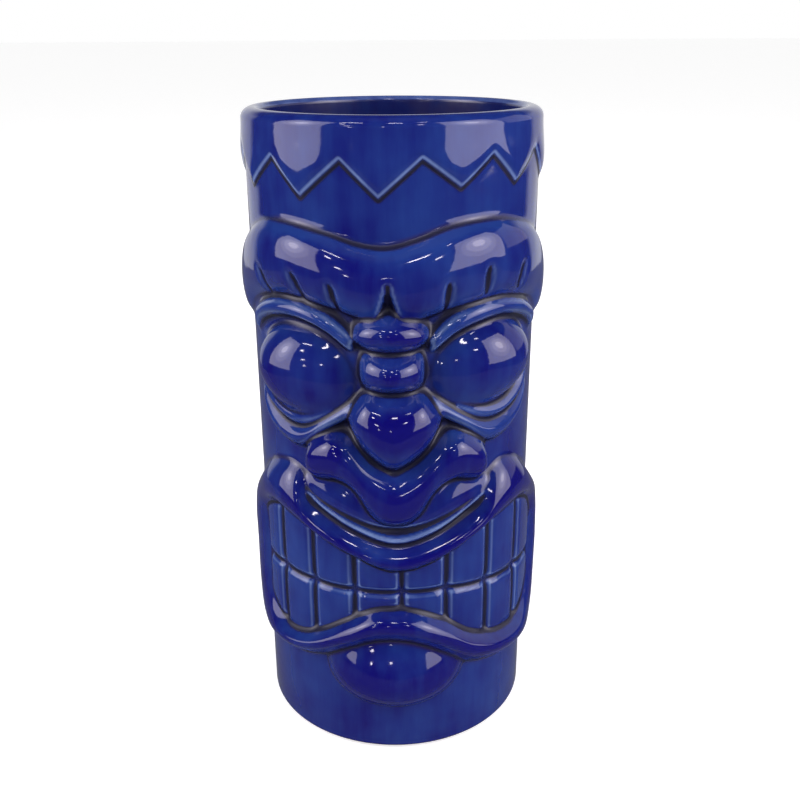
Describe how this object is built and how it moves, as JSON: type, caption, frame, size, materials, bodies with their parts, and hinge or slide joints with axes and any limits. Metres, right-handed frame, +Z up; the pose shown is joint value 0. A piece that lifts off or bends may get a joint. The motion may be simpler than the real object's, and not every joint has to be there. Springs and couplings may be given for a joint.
{
  "type": "tiki mug",
  "caption": "Straight ceramic tiki mug with a carved face in relief: zigzag crown band, heavy brow, round eyes, beaded nose, gritted teeth and domed chin, in glossy cobalt glaze.",
  "frame": {"origin": "centre of the flat unglazed foot, where the mug stands", "axes": "+Z up along the cup's axis, the carved face looks along -Y, +X to the viewer's right of the face"},
  "size_m": [0.0806, 0.0871, 0.172],
  "materials": {
    "cobalt_glaze": "glossy translucent cobalt glaze, dark where it pools in the carving and pale where it thins over edges",
    "bare_clay": "dry unglazed earthenware"
  },
  "bodies": {
    "root": {"brow": "cobalt_glaze", "cheek_fold_left": "cobalt_glaze", "cheek_fold_right": "cobalt_glaze", "chin": "cobalt_glaze", "crown_band": "cobalt_glaze", "cup_body": "cobalt_glaze", "eye_left": "cobalt_glaze", "eye_right": "cobalt_glaze", "foot": "bare_clay", "lower_eyelid_left": "cobalt_glaze", "lower_eyelid_right": "cobalt_glaze", "lower_lip": "cobalt_glaze", "lower_tooth_1": "cobalt_glaze", "lower_tooth_2": "cobalt_glaze", "lower_tooth_3": "cobalt_glaze", "lower_tooth_4": "cobalt_glaze", "lower_tooth_5": "cobalt_glaze", "lower_tooth_6": "cobalt_glaze", "lower_tooth_7": "cobalt_glaze", "lower_tooth_8": "cobalt_glaze", "moustache_lower": "cobalt_glaze", "moustache_upper": "cobalt_glaze", "nose_bridge_lower": "cobalt_glaze", "nose_bridge_upper": "cobalt_glaze", "nose_tip": "cobalt_glaze", "nostril_wings": "cobalt_glaze", "upper_eyelid_left": "cobalt_glaze", "upper_eyelid_right": "cobalt_glaze", "upper_lip": "cobalt_glaze", "upper_tooth_1": "cobalt_glaze", "upper_tooth_2": "cobalt_glaze", "upper_tooth_3": "cobalt_glaze", "upper_tooth_4": "cobalt_glaze", "upper_tooth_5": "cobalt_glaze", "upper_tooth_6": "cobalt_glaze", "upper_tooth_7": "cobalt_glaze", "upper_tooth_8": "cobalt_glaze"}
  },
  "joints": []
}
